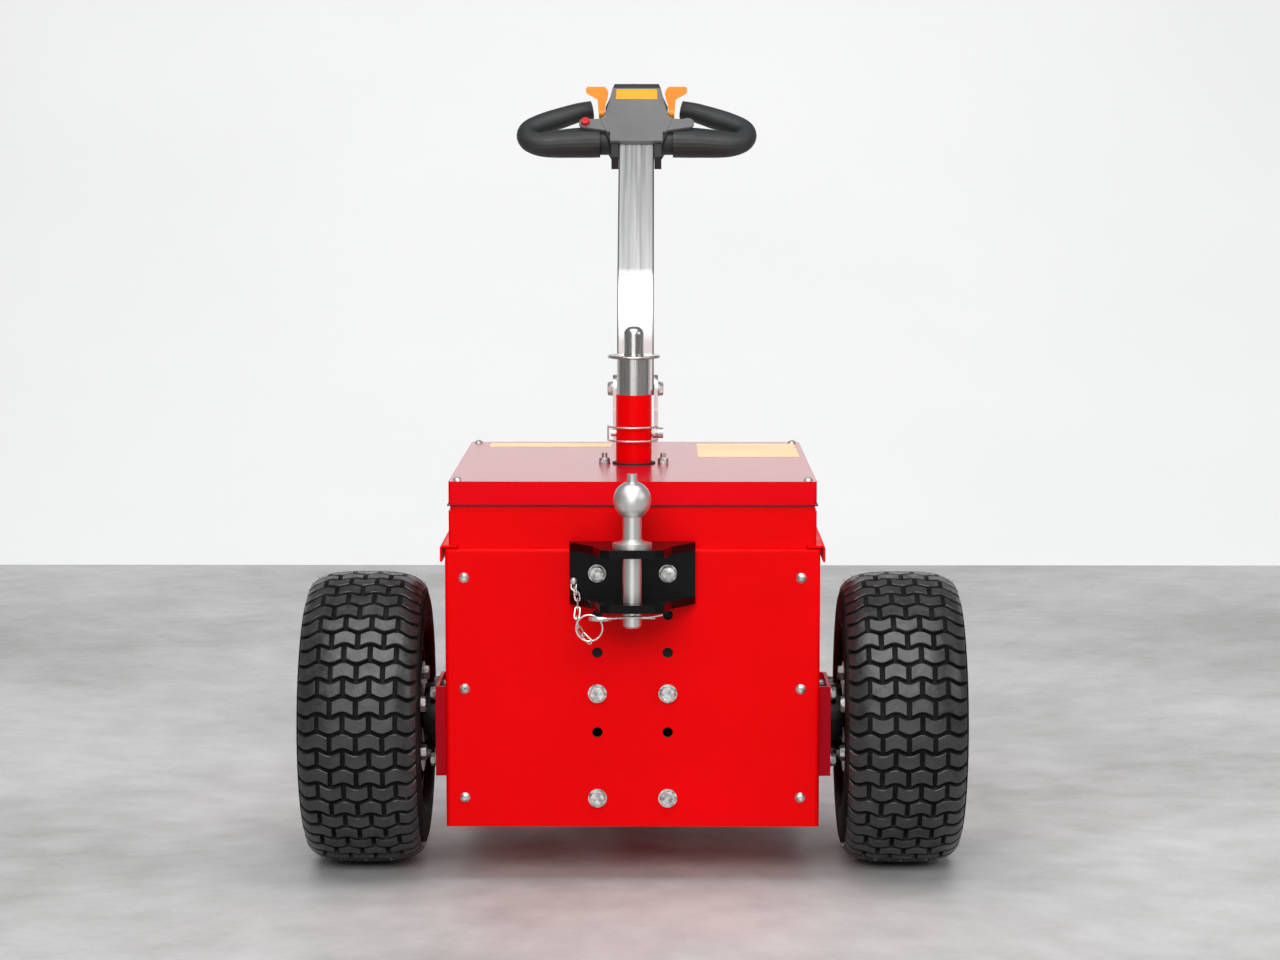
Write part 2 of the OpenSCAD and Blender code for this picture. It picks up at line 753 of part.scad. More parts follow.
module tyre() {
    bead_r = rim_r + 0.2;
    bead_out = rim_half_w - 6.8;
    bead_in = 48;
    outer = concat([[bead_r, bead_out]], carcass(tyre_w / 2, tyre_d / 2, 0.62, -38, 40),
        [[bead_r, -bead_out]]);
    inner = concat([[bead_r - 5, bead_in]], carcass(tyre_w / 2 - 9, tyre_d / 2 - 13, 0.62, -14, 32),
        [[bead_r - 5, -bead_in]]);
    translate([wheel_x, axle_y, axle_z]) rotate([0, 90, 0]) rotate_extrude($fn = 96)
        difference() {
            polygon(outer);
            polygon(inner);
            for (s = [-1, 1]) translate([rim_r - 1, s > 0 ? rim_half_w - 6.4 : -rim_half_w - 4])
                square([rim_lip_r + 1.4 - rim_r, 10.4]);
        }
}

module tyre_right() {
    color(black) home() tyre();
}

module tyre_left() {
    color(black) home() mirror([1, 0, 0]) tyre();
}

// Inside the body
module batteries() {
    color([0.25, 0.26, 0.30]) home() for (y = [30, 290]) {
        block(-165, 165, y, y + 172, 292, 480);
        for (x = [-135, 135]) translate([x, y + 30, 480]) cylinder(d = 18, h = 16);
    }
}

module battery_tray() {
    color([0.3, 0.3, 0.31]) home() difference() {
        union() {
            block(-wall_in, wall_in, 14, back_out - wall, 287, 291);
            both_sides() block(wall_in - 3, wall_in, 14, back_out - wall, 268, 288);
        }
        translate([0, post_y, 200]) cylinder(d = post_d + 10, h = 200);
    }
}

module motor_controller() {
    color([0.16, 0.16, 0.17]) home() {
        block(-90, 90, 330, 470, floor_z + wall, floor_z + wall + 16);
        block(-84, 84, 336, 464, floor_z + wall + 16, floor_z + wall + 62);
        for (x = [-60, -30, 0, 30, 60]) translate([x, 345, floor_z + wall + 62]) cylinder(d = 12, h = 14);
    }
}

// Rear brackets
rear_plate_t = 8;
rear_rows = [[-46, 330], [46, 330], [-46, 440], [46, 440], [-46, 165], [46, 165], [-46, 262], [46, 262]];

module rear_holes(reach) {
    for (p = rear_rows) translate([p[0], back_out + 20, p[1]])
        rotate([90, 0, 0]) cylinder(d = 10.5, h = reach + 20);
}

module tiller_clevis() {
    y0 = back_out + 0.2;
    color(stainless) home() difference() {
        union() {
            block(-64, 64, y0, y0 + rear_plate_t, 300, 500);
            for (x = [-ear_in - ear_t, ear_in]) along_x(x, x + ear_t) {
                translate([y0 + 2, 310]) square([20, 280]);
                polygon([[y0 + 2, 560], [pivot_y - 21, pivot_z], [pivot_y + 21, pivot_z], [y0 + 46, 470],
                    [y0 + 22, 400], [y0 + 2, 400]]);
                translate([pivot_y, pivot_z]) circle(21);
            }
            block(-ear_in, ear_in, y0 + 6, y0 + 14, 470, 560);
        }
        rear_holes(30);
        translate([-60, pivot_y, pivot_z]) rotate([0, 90, 0]) cylinder(d = 12.2, h = 120);
    }
}

module rear_bolts() {
    color(zinc) home() for (p = rear_rows)
        translate([p[0], back_out + 0.2 + rear_plate_t, p[1]]) rotate([-90, 0, 0]) {
            hex_bolt(10, 16, 6.4, 20, 24);
            translate([0, 0, -rear_plate_t - wall - 0.4 - 8]) nut(10, 16, 8);
        }
    color(zinc) home() for (x = [-40, 40], y = [-30, 30])
        translate([x, castor_y + y, castor_top + 8]) {
            hex_bolt(8, 13, 5.3, 16, 22);
            translate([0, 0, -8 - 4.4 - 6.5]) nut(8, 13, 6.5);
        }
}

module tiller_pivot_bolt() {
    out = ear_in + ear_t;
    color(zinc) home() translate([0, pivot_y, pivot_z]) rotate([0, 90, 0]) {
        translate([0, 0, -out - 3]) cylinder(d = 12, h = 2 * out + 6);
        for (s = [0, 1]) mirror([0, 0, s]) translate([0, 0, out]) {
            cylinder(d = 22, h = 2);
            translate([0, 0, 2]) hex_head(18, 6);
        }
    }
}

// Tiller arm: a flat tube that rises from the pivot and bends back to the head
function arc_points(y, z, r, from, to, n) =
    [for (i = [0:n]) let (a = from + (to - from) * i / n) [y + r * cos(a), z + r * sin(a)]];

module tiller_arm() {
    half = arm_t / 2;
    bend_y = pivot_y + arm_bend_r;
    top = arm_upper + arm_socket;
    inner = arc_points(bend_y, arm_straight_top, arm_bend_r - half, 180, 180 - arm_bend, arm_bend);
    outer = arc_points(bend_y, arm_straight_top, arm_bend_r + half, 180 - arm_bend, 180, arm_bend);
    run = [sin(arm_bend) * top, cos(arm_bend) * top];
    foot = arc_points(pivot_y, pivot_z, half, 180, 360, 24);
    color(stainless) home() difference() {
        along_x(-arm_w / 2, arm_w / 2)
            polygon(concat(foot, inner, [inner[arm_bend] + run], [outer[0] + run], outer));
        translate([-60, pivot_y, pivot_z]) rotate([0, 90, 0]) cylinder(d = 12.1, h = 120);
    }
}

// Puts the head's own frame at the end of the arm
module at_head() {
    home() translate([0, arm_end_y, arm_end_z]) rotate([90 - arm_bend, 0, 0]) children();
}

module plank(half_a, half_b, v0, v1, w0, w1) {
    translate([0, 0, w0]) linear_extrude(w1 - w0)
        polygon([[-half_a, v0], [half_a, v0], [half_b, v1], [-half_b, v1]]);
}

// Lower housing of the head, with a cheek on each side of the arm and roots for the loops
module head_base() {
    color(black) at_head() difference() {
        union() {
            plank(40, 56, 42, 78, -26, 12);
            plank(56, 56, 78, 100, -26, 10);
            plank(56, 35, 100, head_len, -24, 8);
            plank(37.8, 35, head_len - 9, head_len, 7, 15.5);
            both_sides() {
                translate([28, 11, -16]) cube([11, 49, 28]);
                difference() {
                    translate([44, 76, -4]) rotate([0, 90, 0]) cylinder(r1 = 16, r2 = 13, h = 40);
                    translate([57, root_v, root_w]) rotate([0, 90, 0]) cylinder(r = root_r + 0.4, h = 40);
                }
                translate([34, root_v, root_w]) rotate([0, 90, 0]) cylinder(r = 19.8, h = 28);
            }
        }
        translate([-arm_w / 2 - 0.3, -10, -half_arm - 0.3])
            cube([arm_w + 0.6, arm_socket + 10.4, arm_t + 0.6]);
        translate([-100, lever_v, lever_w]) rotate([0, 90, 0]) cylinder(d = 8.1, h = 200);
        both_sides() translate([49, lever_v - 20, lever_w - 14]) cube([30, 42, 60]);
        translate([-horn_x, horn_v, 6]) cylinder(d = 13.6, h = 40);
        for (x = [-18, 18]) translate([x, head_len + 1, -10]) rotate([90, 0, 0]) cylinder(d = 6.4, h = 30);
    }
}

half_arm = arm_t / 2;

// Grey cover of the head: a tapering plate with a wing on each side
module head_cover() {
    color([0.42, 0.42, 0.42]) at_head() difference() {
        union() {
            plank(41, 41, 40, 66, 12.2, 18);
            plank(27.4, 27.4, 39.6, 41.6, 10.6, 18);
            plank(46, 57, 60, 88, 12.2, 17.5);
            plank(57, 47.5, 88, 104, 10.2, 17.5);
            plank(48, 38.1, 104, head_len - 9.4, 8.2, 16);
            both_sides() translate([0, 0, 12.2]) linear_extrude(4.6) {
                polygon([[40, 62], [horn_x, horn_v - 10], [horn_x, horn_v + 7], [56, 89]]);
                translate([horn_x, horn_v]) circle(10);
            }
        }
        both_sides() translate([49, lever_v - 20, 0]) cube([30, 42, 60]);
        translate([-horn_x, horn_v, 0]) cylinder(d = 13.6, h = 40);
        translate([0, 0, 14.4]) linear_extrude(10) insert_outline(0.2);
    }
}

module insert_outline(gap) {
    polygon([[-33 - gap, 132 - gap], [33 + gap, 132 - gap], [32 + gap, 153.4 + gap], [-32 - gap, 153.4 + gap]]);
}

module head_insert() {
    color(orange) at_head() translate([0, 0, 14.4]) linear_extrude(2) insert_outline(0);
}

// Handle loops: a thick root out from the head, tapering round to a thinner square-cut end.
// Each point is X, Y and Z in the head's frame, and the radius there.
root_v = 65;
root_w = -12;
root_r = 23.9;
loop_path = [[57.4, root_v, root_w, root_r], [80.9, 64.4, root_w, root_r], [104.4, 63.1, root_w, 22.9],
    [126, 61.2, root_w, 21.6], [143.5, 60.2, root_w, 19.8], [157.5, 62.6, -12.4, 18],
    [167.6, 69.2, -13.3, 16.8], [172.6, 79.6, -14.6, 16.2], [171.6, 90.6, -15.8, 16],
    [165.4, 99.8, -16.8, 16], [154.3, 107.6, -17.5, 16.2], [138.7, 116, -18, 16.4],
    [121.4, 123, -18, 16.5], [105.7, 130, -18, 15.8], [90, 136.4, -18, 15.1], [71, 141.5, -18, 14.3]];

module handle_loop() {
    swept(smoothed(loop_path, 3), 0, [0, 0, 1], 24);
}

module handle_loop_right() {
    color(black) at_head() handle_loop();
}

module handle_loop_left() {
    color(black) at_head() mirror([1, 0, 0]) handle_loop();
}

// Thumb lever: a stem on the shaft, with a horn that hooks outwards at its top
module thumb_lever() {
    translate([0, lever_v, lever_w]) rotate([-45, 0, 0]) difference() {
        union() {
            translate([50.4, 0, 0]) rotate([0, 90, 0]) cylinder(d = 15, h = 9);
            translate([0, 4.5, 0]) rotate([90, 0, 0]) linear_extrude(9)
                polygon([[50.4, 0], [50.4, 3], [48.8, 14], [46.9, 20], [45.4, 26], [44.4, 31],
                    [46, 37], [50.5, 42], [77, 42], [79.5, 39.5], [79.5, 33], [76, 29.5],
                    [69, 26], [61.5, 22], [60, 3], [59.4, 0]]);
        }
        translate([40, 0, 0]) rotate([0, 90, 0]) cylinder(d = 6.1, h = 16);
    }
}

module thumb_lever_right() {
    color(orange) at_head() thumb_lever();
}

module thumb_lever_left() {
    color(orange) at_head() mirror([1, 0, 0]) thumb_lever();
}

module lever_shaft() {
    color(zinc) at_head() translate([0, lever_v, lever_w]) rotate([0, 90, 0]) {
        cylinder(d = 8, h = 98, center = true);
        cylinder(d = 6, h = 110, center = true);
    }
}

module horn_button() {
    color([0.75, 0.05, 0.05]) at_head() translate([-horn_x, horn_v, 14]) {
        cylinder(d = 13, h = 8.5);
        translate([0, 0, -1]) cylinder(d = 8, h = 1.5);
    }
}

// Reversing button across the far end of the head, which backs the machine off the operator
module belly_button() {
    color([0.75, 0.05, 0.05]) at_head() translate([0, head_len + belly_travel + 0.5, -10]) {
        rotate([90, 0, 0]) translate([0, 0, -6]) linear_extrude(6)
            polygon([[-29, -12], [29, -12], [29, 10], [-29, 10]]);
        for (x = [-18, 18]) translate([x, 1, 0]) rotate([90, 0, 0]) cylinder(d = 6, h = 18);
    }
}

// Castor and its bracket
module castor_bracket() {
    y0 = back_out + 0.2;
    color(red) home() difference() {
        union() {
            block(-64, 64, y0, y0 + rear_plate_t, 140, 288);
            block(-64, 64, y0, castor_y + 62, castor_top, castor_top + 8);
            both_sides() along_x(58, 64)
                polygon([[y0, 204], [castor_y + 50, 204], [y0, 280]]);
        }
        rear_holes(30);
        castor_plate_holes();
    }
}

module castor_plate_holes() {
    for (x = [-40, 40], y = [-30, 30])
        translate([x, castor_y + y, castor_top - 30]) cylinder(d = 9, h = 60);
}

module castor_plate() {
    color(zinc) home() difference() {
        union() {
            block(-52, 52, castor_y - 43, castor_y + 43, castor_top - 4.2, castor_top - 0.2);
            translate([0, castor_y, castor_top - 16]) cylinder(d = 62, h = 12);
        }
        translate([0, castor_y, castor_top - 40]) cylinder(d = 16.1, h = 37);
        castor_plate_holes();
    }
}

module castor_fork() {
    wheel_y = castor_y + castor_trail;
    color(zinc) home() difference() {
        union() {
            translate([0, castor_y, castor_top - 22]) cylinder(d = 66, h = 5.7);
            translate([0, castor_y, castor_top - 20]) cylinder(d = 16, h = 15);
            block(-29, 29, castor_y - 26, wheel_y + 8, castor_top - 26, castor_top - 20);
            both_sides() along_x(25, 29)
                polygon([[castor_y - 26, 176], [wheel_y + 8, 176], [wheel_y + 16, castor_r + 6],
                    [wheel_y + 8, castor_r - 16], [wheel_y - 8, castor_r - 16], [castor_y - 26, 150]]);
        }
        translate([-50, wheel_y, castor_r]) rotate([0, 90, 0]) cylinder(d = 12.1, h = 100);
    }
}

module castor_wheel() {
    color([0.2, 0.2, 0.21]) home() translate([0, castor_y + castor_trail, castor_r]) rotate([0, 90, 0])
        difference() {
            union() {
                translate([0, 0, -19]) rotate_extrude($fn = 72) {
                    square([castor_r - 5, 38]);
                    translate([0, 5]) square([castor_r, 28]);
                    for (z = [5, 33]) translate([castor_r - 5, z]) circle(5);
                }
                translate([0, 0, -23]) cylinder(d = 32, h = 46);
            }
            translate([0, 0, -50]) cylinder(d = 12.1, h = 100);
            for (z = [-20, 11]) translate([0, 0, z]) difference() {
                cylinder(r = 50, h = 9);
                translate([0, 0, -1]) cylinder(r = 20, h = 11);
            }
        }
}

module castor_axle() {
    color(zinc) home() translate([0, castor_y + castor_trail, castor_r]) rotate([0, 90, 0]) {
        cylinder(d = 12, h = 62, center = true);
        for (s = [0, 1]) mirror([0, 0, s]) translate([0, 0, 29.1]) hex_head(18, 7);
    }
}

// Controls on the upper box's back wall
module rear_disc(x, d, h) {
    translate([x, back_out, rear_row_z]) rotate([-90, 0, 0]) cylinder(d = d, h = h);
}

module emergency_stop_base() {
    color([0.9, 0.75, 0.1]) home() difference() {
        rear_disc(-150, 40, 9);
        translate([-150, back_out + 2, rear_row_z]) rotate([-90, 0, 0]) cylinder(d = 16.2, h = 20);
    }
}

module emergency_stop_button() {
    color([0.75, 0.03, 0.03]) home() translate([-150, back_out, rear_row_z]) rotate([-90, 0, 0]) {
        translate([0, 0, 7]) cylinder(d = 16, h = 8);
        translate([0, 0, 15]) intersection() {
            cylinder(d = 34, h = 11);
            translate([0, 0, -14]) sphere(r = 24);
        }
    }
}

module key_switch() {
    color(zinc) home() difference() {
        rear_disc(110, 22, 8);
        translate([110, back_out + 3, rear_row_z]) rotate([-90, 0, 0]) cylinder(d = 9.1, h = 20);
    }
}

module key() {
    color(stainless) home() translate([110, back_out + 3.2, rear_row_z]) rotate([-90, 0, 0]) {
        cylinder(d = 9, h = 5.4);
        translate([-1, -4, 5]) cube([2, 8, 16]);
        translate([-1.2, 0, 28]) rotate([0, 90, 0]) cylinder(d = 20, h = 2.4);
    }
}

module battery_gauge() {
    color(black) home() translate([165, back_out, rear_row_z]) rotate([-90, 0, 0])
        linear_extrude(6) translate([0, -13]) rounded_rect(48, 26, 4);
}

module charge_socket() {
    color(black) home() difference() {
        union() {
            rear_disc(215, 34, 5);
            rear_disc(215, 27, 14);
        }
        translate([215, back_out + 4, rear_row_z]) rotate([-90, 0, 0]) cylinder(d = 20, h = 20);
    }
}

chassis_tub();
front_plate();
front_plate_screws();
backing_plate();
front_plate_bolts();
upper_box();
lid();
lid_screws();
post_tube();
post_nuts();
coupling_pin();
lock_pin();
lock_pin_bail();
hitch_bracket();
hitch_fasteners();
tow_ball_pin();
r_clip();
clip_ring();
clip_chain();
side_plate_left();
side_plate_right();
side_plate_bolts();
gear_motor_left();
gear_motor_right();
wheel_hub_left();
wheel_hub_right();
wheel_nuts_left();
wheel_nuts_right();
rim_left();
rim_right();
tyre_left();
tyre_right();
batteries();
battery_tray();
motor_controller();
tiller_clevis();
rear_bolts();
tiller_pivot_bolt();
tiller_arm();
head_base();
head_cover();
head_insert();
handle_loop_left();
handle_loop_right();
thumb_lever_left();
thumb_lever_right();
lever_shaft();
horn_button();
belly_button();
castor_bracket();
castor_plate();
castor_fork();
castor_wheel();
castor_axle();
emergency_stop_base();
emergency_stop_button();
key_switch();
key();
battery_gauge();
charge_socket();
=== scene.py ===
import math
import random
import bmesh
import bpy
from mathutils import Matrix, Vector


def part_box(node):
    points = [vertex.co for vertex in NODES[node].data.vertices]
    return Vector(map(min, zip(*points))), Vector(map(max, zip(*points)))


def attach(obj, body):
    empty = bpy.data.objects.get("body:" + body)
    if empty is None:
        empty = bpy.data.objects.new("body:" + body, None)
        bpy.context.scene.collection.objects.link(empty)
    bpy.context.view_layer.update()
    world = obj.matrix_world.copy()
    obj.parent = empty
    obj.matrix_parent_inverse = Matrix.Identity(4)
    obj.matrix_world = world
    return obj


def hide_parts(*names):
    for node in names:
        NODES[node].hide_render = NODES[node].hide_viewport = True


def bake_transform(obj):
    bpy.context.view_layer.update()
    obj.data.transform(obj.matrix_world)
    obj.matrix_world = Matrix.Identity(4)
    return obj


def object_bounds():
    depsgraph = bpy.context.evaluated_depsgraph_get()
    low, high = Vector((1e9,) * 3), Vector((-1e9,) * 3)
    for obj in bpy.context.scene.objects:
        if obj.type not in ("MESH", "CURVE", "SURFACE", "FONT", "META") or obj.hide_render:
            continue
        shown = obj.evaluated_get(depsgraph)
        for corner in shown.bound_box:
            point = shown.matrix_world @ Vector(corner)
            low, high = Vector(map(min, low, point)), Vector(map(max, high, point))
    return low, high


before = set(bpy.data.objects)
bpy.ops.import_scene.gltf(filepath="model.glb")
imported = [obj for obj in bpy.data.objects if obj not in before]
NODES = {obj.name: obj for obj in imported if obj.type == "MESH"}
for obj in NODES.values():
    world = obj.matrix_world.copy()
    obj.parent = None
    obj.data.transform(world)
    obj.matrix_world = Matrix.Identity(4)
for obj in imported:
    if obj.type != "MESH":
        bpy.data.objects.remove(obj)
CAD_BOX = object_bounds()
MM = 0.001


# ---------------------------------------------------------------- materials

RAMP_LOW, RAMP_HIGH = 0.3, 0.7       # the part of a noise's range that its two colours share
TOP_STARTS = 0.6, 0.95               # a surface counts as a top between these slopes
MIX_FACTOR, MIX_A, MIX_B, MIX_RESULT = 0, 6, 7, 2   # the sockets of a colour Mix node


class Graph:
    """A node material under construction."""

    def __init__(self, name):
        self.mat = bpy.data.materials.new(name)
        self.mat.use_nodes = True
        self.tree = self.mat.node_tree
        self.shader = self.tree.nodes["Principled BSDF"]
        self.coords = self.add("ShaderNodeTexCoord").outputs["Object"]

    def add(self, kind, **props):
        node = self.tree.nodes.new(kind)
        for key, value in props.items():
            setattr(node, key, value)
        return node

    def link(self, a, b):
        self.tree.links.new(a, b)

    def set(self, **values):
        for key, value in values.items():
            self.shader.inputs[key.replace("_", " ")].default_value = value
        return self

    def noise(self, scale, detail=3.0, rough=0.5, stretch=(1, 1, 1)):
        mapping = self.add("ShaderNodeMapping")
        mapping.inputs["Scale"].default_value = stretch
        self.link(self.coords, mapping.inputs["Vector"])
        tex = self.add("ShaderNodeTexNoise")
        tex.inputs["Scale"].default_value = scale
        tex.inputs["Detail"].default_value = detail
        tex.inputs["Roughness"].default_value = rough
        self.link(mapping.outputs["Vector"], tex.inputs["Vector"])
        return tex.outputs["Fac"]

    def voronoi(self, scale):
        tex = self.add("ShaderNodeTexVoronoi")
        tex.inputs["Scale"].default_value = scale
        self.link(self.coords, tex.inputs["Vector"])
        return tex.outputs["Distance"]

    def ramp(self, fac, *stops):
        node = self.add("ShaderNodeValToRGB")
        ends = node.color_ramp.elements
        while len(ends) < len(stops):
            ends.new(0.5)
        for element, (at, colour) in zip(ends, stops):
            element.position = at
            element.color = (*colour, 1)
        self.link(fac, node.inputs["Fac"])
        return node.outputs["Color"]

    def spread(self, fac, low, high, lo=RAMP_LOW, hi=RAMP_HIGH):
        node = self.add("ShaderNodeMapRange")
        for key, value in (("From Min", lo), ("From Max", hi), ("To Min", low), ("To Max", high)):
            node.inputs[key].default_value = value
        self.link(fac, node.inputs["Value"])
        return node.outputs["Result"]

    def bump(self, *layers):
        normal = None
        for height, strength, distance in layers:
            node = self.add("ShaderNodeBump")
            node.inputs["Strength"].default_value = strength
            node.inputs["Distance"].default_value = distance
            self.link(height, node.inputs["Height"])
            if normal is not None:
                self.link(normal, node.inputs["Normal"])
            normal = node.outputs["Normal"]
        self.link(normal, self.shader.inputs["Normal"])
        return self


def powder_coat(name, dark, light, rough, coat, gloss=0.5, peel=0.10, uneven=0.07):
    """Powder coat: slight orange peel, a little unevenness and faint dust in the gloss."""
    g = Graph(name).set(Coat_Weight=coat, Coat_Roughness=0.12, Specular_IOR_Level=gloss)
    g.link(g.ramp(g.noise(7, 4), (RAMP_LOW, dark), (RAMP_HIGH, light)), g.shader.inputs["Base Color"])
    g.link(g.spread(g.noise(26, 5, 0.6), rough - uneven, rough + uneven), g.shader.inputs["Roughness"])
    g.bump((g.noise(330, 2), peel, 0.0006), (g.noise(1500, 2), peel * 0.6, 0.0003))
    return g.mat


class Edit:
    """Later changes to the shader of a finished look."""

    def __init__(self, look):
        self.nodes, self.links = look.node_tree.nodes, look.node_tree.links
        self.shader = self.nodes["Principled BSDF"]

    def facing(self, axis):
        """How far the surface faces along an axis, -1 to 1."""
        parts = self.nodes.new("ShaderNodeSeparateXYZ")
        self.links.new(self.nodes.new("ShaderNodeNewGeometry").outputs["Normal"], parts.inputs["Vector"])
        return parts.outputs[axis]

    def off_middle(self, axis):
        """The place along an axis of the object's own frame."""
        parts = self.nodes.new("ShaderNodeSeparateXYZ")
        self.links.new(self.nodes.new("ShaderNodeTexCoord").outputs["Object"], parts.inputs["Vector"])
        return parts.outputs[axis]

    def maths(self, operation, a, b=None, clamp=False):
        node = self.nodes.new("ShaderNodeMath")
        node.operation = operation
        node.use_clamp = clamp
        for socket, value in zip(node.inputs, (a, b)):
            if isinstance(value, float):
                socket.default_value = value
            elif value is not None:
                self.links.new(value, socket)
        return node.outputs[0]

    def band(self, value, start, end, low=0.0, high=1.0):
        """Low up to start, high from end on."""
        node = self.nodes.new("ShaderNodeMapRange")
        for key, number in (("From Min", start), ("From Max", end), ("To Min", low), ("To Max", high)):
            node.inputs[key].default_value = number
        self.links.new(value, node.inputs["Value"])
        return node.outputs["Result"]

    def tint(self, where, colour):
        """Mix a colour into the base by a mask."""
        mix = self.nodes.new("ShaderNodeMix")
        mix.data_type = "RGBA"
        self.links.new(where, mix.inputs[MIX_FACTOR])
        self.links.new(self.shader.inputs["Base Color"].links[0].from_socket, mix.inputs[MIX_A])
        mix.inputs[MIX_B].default_value = (*colour, 1)
        self.links.new(mix.outputs[MIX_RESULT], self.shader.inputs["Base Color"])


def coated_top_painted_shade(look, colour, coat_roughness):
    """A sheet's top carries a clear coat, and its base colour there is painted a deeper red as painted shade
    for the strong light the top takes; its sides get neither.
    """
    edit = Edit(look)
    edit.links.new(edit.band(edit.facing("Z"), *TOP_STARTS), edit.shader.inputs["Coat Weight"])
    edit.shader.inputs["Coat Roughness"].default_value = coat_roughness
    edit.tint(edit.facing("Z"), colour)


def painted_edge_shade(look, inner, outer, colour):
    """The rolled edges of a flat tube's broad faces, from inner to outer off its middle, are painted darker:
    painted shade for the dark surroundings their curve reflects.
    """
    edit = Edit(look)
    near_edge = edit.band(edit.maths("ABSOLUTE", edit.off_middle("X")), inner, outer)
    broad_face = edit.maths("SUBTRACT", 1.0, edit.maths("ABSOLUTE", edit.facing("X")))
    edit.tint(edit.maths("MULTIPLY", near_edge, broad_face, clamp=True), colour)


def plated(name, dark, light, rough):
    """Zinc plate: cloudy passivation with fine pits."""
    g = Graph(name).set(Metallic=0.85)
    g.link(g.ramp(g.noise(150, 5, 0.6), (RAMP_LOW, dark), (RAMP_HIGH, light)), g.shader.inputs["Base Color"])
    g.link(g.spread(g.noise(420, 4), rough - 0.09, rough + 0.13), g.shader.inputs["Roughness"])
    g.bump((g.voronoi(900), 0.12, 0.0004), (g.noise(260, 3), 0.15, 0.0005))
    return g.mat


def brushed(name, dark, light, rough, stretch):
    """Brushed stainless: long fine scratches along one direction, and slow cloudiness; on the turned pin the
    colour streaks run up it and are painted reflections.
    """
    g = Graph(name).set(Metallic=1.0)
    grain = g.noise(60, 6, 0.7, stretch)
    g.link(g.ramp(grain, (RAMP_LOW, dark), (RAMP_HIGH, light)), g.shader.inputs["Base Color"])
    g.link(g.spread(g.noise(40, 5, 0.6, stretch), rough - 0.07, rough + 0.10), g.shader.inputs["Roughness"])
    g.bump((grain, 0.06, 0.0003), (g.noise(18, 2), 0.03, 0.0008))
    return g.mat


def moulded(name, dark, light, rough, grain=900, depth=0.25):
    """Injection-moulded plastic with a spark-eroded grain."""
    g = Graph(name)
    g.link(g.ramp(g.noise(11, 4), (RAMP_LOW, dark), (RAMP_HIGH, light)), g.shader.inputs["Base Color"])
    g.link(g.spread(g.noise(60, 4), rough - 0.06, rough + 0.08), g.shader.inputs["Roughness"])
    g.bump((g.voronoi(grain), depth, 0.0003), (g.noise(25, 2), 0.05, 0.0010))
    return g.mat


def rubber(name, dark, light, rough, gloss=0.4):
    """Moulded rubber: dusty bloom, fine pits."""
    g = Graph(name).set(Specular_IOR_Level=gloss)
    g.link(g.ramp(g.noise(34, 6, 0.65), (0.35, dark), (0.75, light)), g.shader.inputs["Base Color"])
    g.link(g.spread(g.noise(90, 5), rough - 0.10, rough + 0.12), g.shader.inputs["Roughness"])
    g.bump((g.noise(700, 4), 0.22, 0.0005), (g.noise(75, 3), 0.30, 0.0020))
    return g.mat


RED = powder_coat("red_coat", (0.83, 0.0, 0.001), (0.90, 0.0, 0.002), 0.34, 0.0, 0.05)
LID_RED = powder_coat("red_coat_lid", (0.80, 0.0, 0.004), (0.88, 0.0, 0.006), 0.30, 0.0, 0.05, 0.003, 0.008)
# The lid's top is painted a deeper red: painted shade.
coated_top_painted_shade(LID_RED, (0.42, 0.004, 0.02), 0.20)
SIDE_RED = powder_coat("red_coat_sides", (0.83, 0.0, 0.016), (0.90, 0.0, 0.022), 0.36, 0.0, 0.10)
BLACK = powder_coat("black_coat", (0.001, 0.001, 0.0012), (0.003, 0.003, 0.0033), 0.20, 0.0, 0.14)
ZINC = plated("zinc_plate", (0.16, 0.16, 0.155), (0.92, 0.92, 0.90), 0.40)
CHAIN_ZINC = plated("zinc_wire", (0.60, 0.58, 0.54), (0.92, 0.90, 0.86), 0.30)
# The turned pin's colour carries streaks up its length: painted reflections, not turning marks.
STEEL_REFLECTION_STREAKS = brushed("stainless_turned", (0.42, 0.41, 0.39), (0.74, 0.73, 0.71), 0.24, (3, 3, 0.08))
STEEL_SATIN = brushed("stainless_satin", (0.62, 0.62, 0.60), (0.80, 0.79, 0.77), 0.42, (3, 3, 0.08))
STEEL_ARM = brushed("stainless_arm", (0.68, 0.68, 0.68), (0.76, 0.76, 0.76), 0.36, (5, 0.1, 0.1))
# Painted shade: dark lines down the arm's rolled edges stand for their dark reflections.
painted_edge_shade(STEEL_ARM, 24.4 * MM, 26.4 * MM, (0.05, 0.05, 0.05))
STEEL_PLATE = brushed("stainless_plate", (0.60, 0.60, 0.60), (0.76, 0.76, 0.76), 0.30, (5, 0.1, 0.1))
MILL = plated("mill_steel", (0.16, 0.16, 0.17), (0.30, 0.30, 0.31), 0.50)
# The casing also forms the floors of the grooves and is darker than the tread blocks: in the grooves this is
# painted shade, on the sidewalls the rubber's own dark colour.
TYRE_CASING_GROOVE_SHADE = rubber("tyre_rubber", (0.006, 0.006, 0.0065), (0.022, 0.022, 0.023), 0.62, 0.06)
TREAD = rubber("tread_rubber", (0.016, 0.016, 0.0165), (0.042, 0.042, 0.043), 0.30, 0.50)
CASTOR = rubber("castor_rubber", (0.05, 0.05, 0.055), (0.10, 0.10, 0.11), 0.6)
DARK = moulded("dark_plastic", (0.016, 0.017, 0.018), (0.026, 0.027, 0.028), 0.50)
GREY = moulded("grey_plastic", (0.125, 0.125, 0.125), (0.165, 0.165, 0.163), 0.44)
ORANGE = moulded("orange_plastic", (0.92, 0.24, 0.002), (1.0, 0.33, 0.004), 0.40, 600, 0.12)
ORANGE_PALE = moulded("orange_insert", (0.92, 0.33, 0.010), (0.98, 0.39, 0.016), 0.40, 600, 0.10)
RED_PLASTIC = moulded("red_plastic", (0.55, 0.012, 0.012), (0.68, 0.02, 0.02), 0.30, 700, 0.08)
